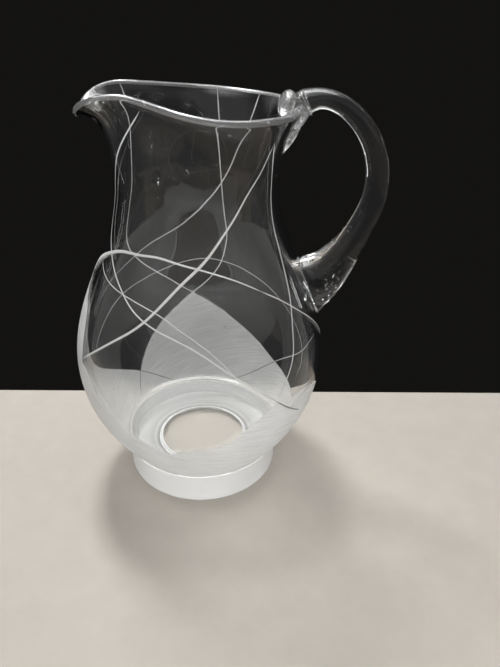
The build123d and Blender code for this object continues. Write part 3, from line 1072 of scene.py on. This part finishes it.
# Finishes: blown glass, the rim's bead melted round and smooth with a soft skin, and the handle's glass
clear = blown_glass("clear_blown_glass", (0.985, 0.99, 0.985), 0.0, 1.0, 32.0, 0.25, 0.10)
joint = fused_joint()
bead = blown_glass("fire_polished_rim_glass", (0.97, 0.97, 0.975), 0.10, 0.84, 60.0, 0.1, 0.15)
drawn = drawn_glass("drawn_handle_glass", 420.0, 0.10, 1.0)
pressed = drawn_glass("pressed_seal_glass", 700.0, 0.8, 0.92)

# Blasted and ground glass: dark and pale tone, how clear, how rough, the streaks' share, the bump, and the
# light that it lets through
frosted = blasted_glass(
    "frosted_field_glass", (0.60, 0.60, 0.59), (0.98, 0.98, 0.97), 0.42, 0.48, 0.55, 0.35, 0.38
)
foot_frosted = blasted_glass(
    "frosted_foot_glass", (0.80, 0.80, 0.795), (0.94, 0.94, 0.935), 0.12, 0.55, 0.15, 0.2, 0.4
)
# The standing ring carries painted light and shade in rings round the recess
under_foot = blasted_glass(
    "frosted_standing_ring_glass", (0.80, 0.80, 0.79), (0.92, 0.92, 0.915), 0.20, 0.50, 0.0, 0.3, 0.4, True
)
recess_edge = blasted_glass(
    "ground_recess_edge_glass", (0.93, 0.93, 0.93), (0.99, 0.99, 0.99), 0.0, 0.60, 0.0, 0.2, 0.3
)
ground = blasted_glass("ground_line_glass", (0.52, 0.52, 0.51), (0.80, 0.80, 0.79), 0.22, 0.55, 0.3, 0.3, 0.5)
# Engraved lines where they lie on the frosted field: painted much darker than the same lines on clear glass,
# a painted shade
painted_dark_frost_line = blasted_glass(
    "frost_line_painted_shade_glass", (0.16, 0.16, 0.155), (0.30, 0.30, 0.29), 0.3, 0.40, 0.2, 0.2, 0.8
)

glass = join_glass(blown_body(clear, frosted, joint, bead), drawn_handle(drawn), pressed)
foot = foot_puck(clear, foot_frosted, under_foot, recess_edge, joint)
line_tree = engraving_tree()
lines = engrave("engraved_lines", line_tree, glass, ground, False)
# The lines over the frost take the painted shade
frost_lines = engrave("engraved_lines_in_frost", line_tree, glass, painted_dark_frost_line, True)
sow_seeds(glass, clear)

# The table that the jug stands on: its corners, front and back, and the heights of its two faces
table_corners = [(-420, -420), (420, -420), (420, 39.3), (-420, 97.2)]
table_top, table_underside = -0.1, -18
table_mesh = mesh_from(
    "table",
    [(x, y, z) for z in (table_top, table_underside) for x, y in table_corners],
    [(0, 1, 2, 3), (7, 6, 5, 4), (0, 4, 5, 1), (1, 5, 6, 2), (2, 6, 7, 3), (3, 7, 4, 0)],
)
shade(table_mesh, False)
pale_table, tree, surface = shader("pale_table", (0.38, 0.35, 0.31), 0.7, 1.45, 0.0)
mottle = noise_of(tree, add_node(tree, "ShaderNodeTexCoord")["Object"], 60.0, 5.0, 0.6)
tone = mixed(tree, mottle, (0.355, 0.325, 0.285, 1), (0.405, 0.375, 0.335, 1))
# Seen in the glass's reflections the table is painted dark brown: a painted reflection
painted_reflection_share = add_node(tree, "ShaderNodeLightPath")["Glossy Depth"]
tree.links.new(mixed(tree, painted_reflection_share, tone, (0.12, 0.10, 0.08, 1)), surface.inputs["Base Color"])
table_mesh.materials.append(pale_table)
table = new_object("table", table_mesh)

# Camera
turn, tilt, roll = radians(5.4705), radians(30.6568), radians(1.2513)
eye = Vector((0.0, -0.32223, 0.28493))
ahead = Vector((sin(turn) * cos(tilt), cos(turn) * cos(tilt), -sin(tilt)))
level = Vector((cos(turn), -sin(turn), 0))
upright = level.cross(ahead)
right = level * cos(roll) + upright * sin(roll)
up = upright * cos(roll) - level * sin(roll)
lens = bpy.data.cameras.new("camera")
lens.sensor_fit = "HORIZONTAL"
lens.sensor_width = 36.0
lens.lens = 43.2
lens.clip_start = 0.01
camera = new_object("camera", lens)
camera.matrix_world = Matrix.Translation(eye) @ Matrix((right, up, -ahead)).transposed().to_4x4()
bpy.context.scene.camera = camera


def soft_light(name, place, aim, size, power):
    lamp = bpy.data.lights.new(name, "AREA")
    lamp.shape = "RECTANGLE"
    lamp.size, lamp.size_y = size
    lamp.energy = power
    holder = new_object(name, lamp)
    holder.location = place
    holder.rotation_euler = (Vector(aim) - Vector(place)).to_track_quat("-Z", "Y").to_euler()
    return holder


soft_light("key", (-0.21, 0.62, 1.36), (0, 0, 0.06), (0.24, 0.24), 20)
soft_light("over_strip", (0, -0.05, 1.45), (0, 0, 0.1), (1.8, 0.07), 4)
front = soft_light("front_fill", (-0.08, -1.18, 0.45), (0, 0, 0.08), (0.9, 0.7), 8.8)
front.visible_glossy = False
front.visible_transmission = False
soft_light("left_strip", (-0.62, 0.30, 0.30), (0, 0, 0.12), (0.012, 0.6), 0.04)
soft_light("right_strip", (0.70, 0.32, 0.30), (0, 0, 0.12), (0.014, 0.6), 0.16)
soft_light("rim_strip", (0, 0.85, 0.95), (0, 0, 0.2), (1.8, 0.04), 0.8)

# Round the table: white light for the matte faces, and for what the glass shows a room that is dark low
# behind the jug, paler towards the viewer and high behind the jug, and brightest overhead
world = bpy.data.worlds.new("studio")
bpy.context.scene.world = world
world.use_nodes = True
tree = world.node_tree
tree.nodes.clear()
path = add_node(tree, "ShaderNodeLightPath")
split = add_node(tree, "ShaderNodeSeparateXYZ", {0: add_node(tree, "ShaderNodeTexCoord")["Generated"]})
away, height = split["Y"], split["Z"]


def span(value, low, high, least=0.0, most=1.0):
    return ranged(tree, value, low, high, least, most, "SMOOTHSTEP")


shades = span(away, 0.75, -0.2, 0.009, 0.11)
high_behind = maths(tree, "MULTIPLY", span(height, 0.32, 0.6), span(away, -0.1, 0.45))
overhead = maths(tree, "MULTIPLY", span(height, 0.72, 0.95), span(away, -0.04, 0.1, 0.22, 1.0))
in_front = maths(tree, "MULTIPLY", span(height, 0.0, 0.25), span(away, 0.0, -0.4))
for panel, strength in ((high_behind, 1.0), (in_front, 0.3), (overhead, 12.0)):
    shades = maths(tree, "MULTIPLY_ADD", panel, strength, shades)
through_glass = maths(tree, "MAXIMUM", path["Is Glossy Ray"], path["Is Transmission Ray"])
straight = maths(tree, "LESS_THAN", path["Diffuse Depth"], 0.5)
fill = add_node(tree, "ShaderNodeBackground", {"Strength": 0.33})
room = add_node(tree, "ShaderNodeBackground", {"Strength": shades})
dark = add_node(tree, "ShaderNodeBackground", {"Color": (0.0068, 0.0066, 0.006, 1)})
shown = maths(tree, "MULTIPLY", through_glass, straight)
inside = add_node(tree, "ShaderNodeMixShader", {0: shown, 1: fill[0], 2: room[0]})
seen = add_node(tree, "ShaderNodeMixShader", {0: path["Is Camera Ray"], 1: inside[0], 2: dark[0]})
add_node(tree, "ShaderNodeOutputWorld", {"Surface": seen[0]})

bpy.context.scene.view_settings.view_transform = "Standard"

for piece in (glass, foot, lines, frost_lines):
    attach(piece, "root")
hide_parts("body")
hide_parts("handle")
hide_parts("foot")
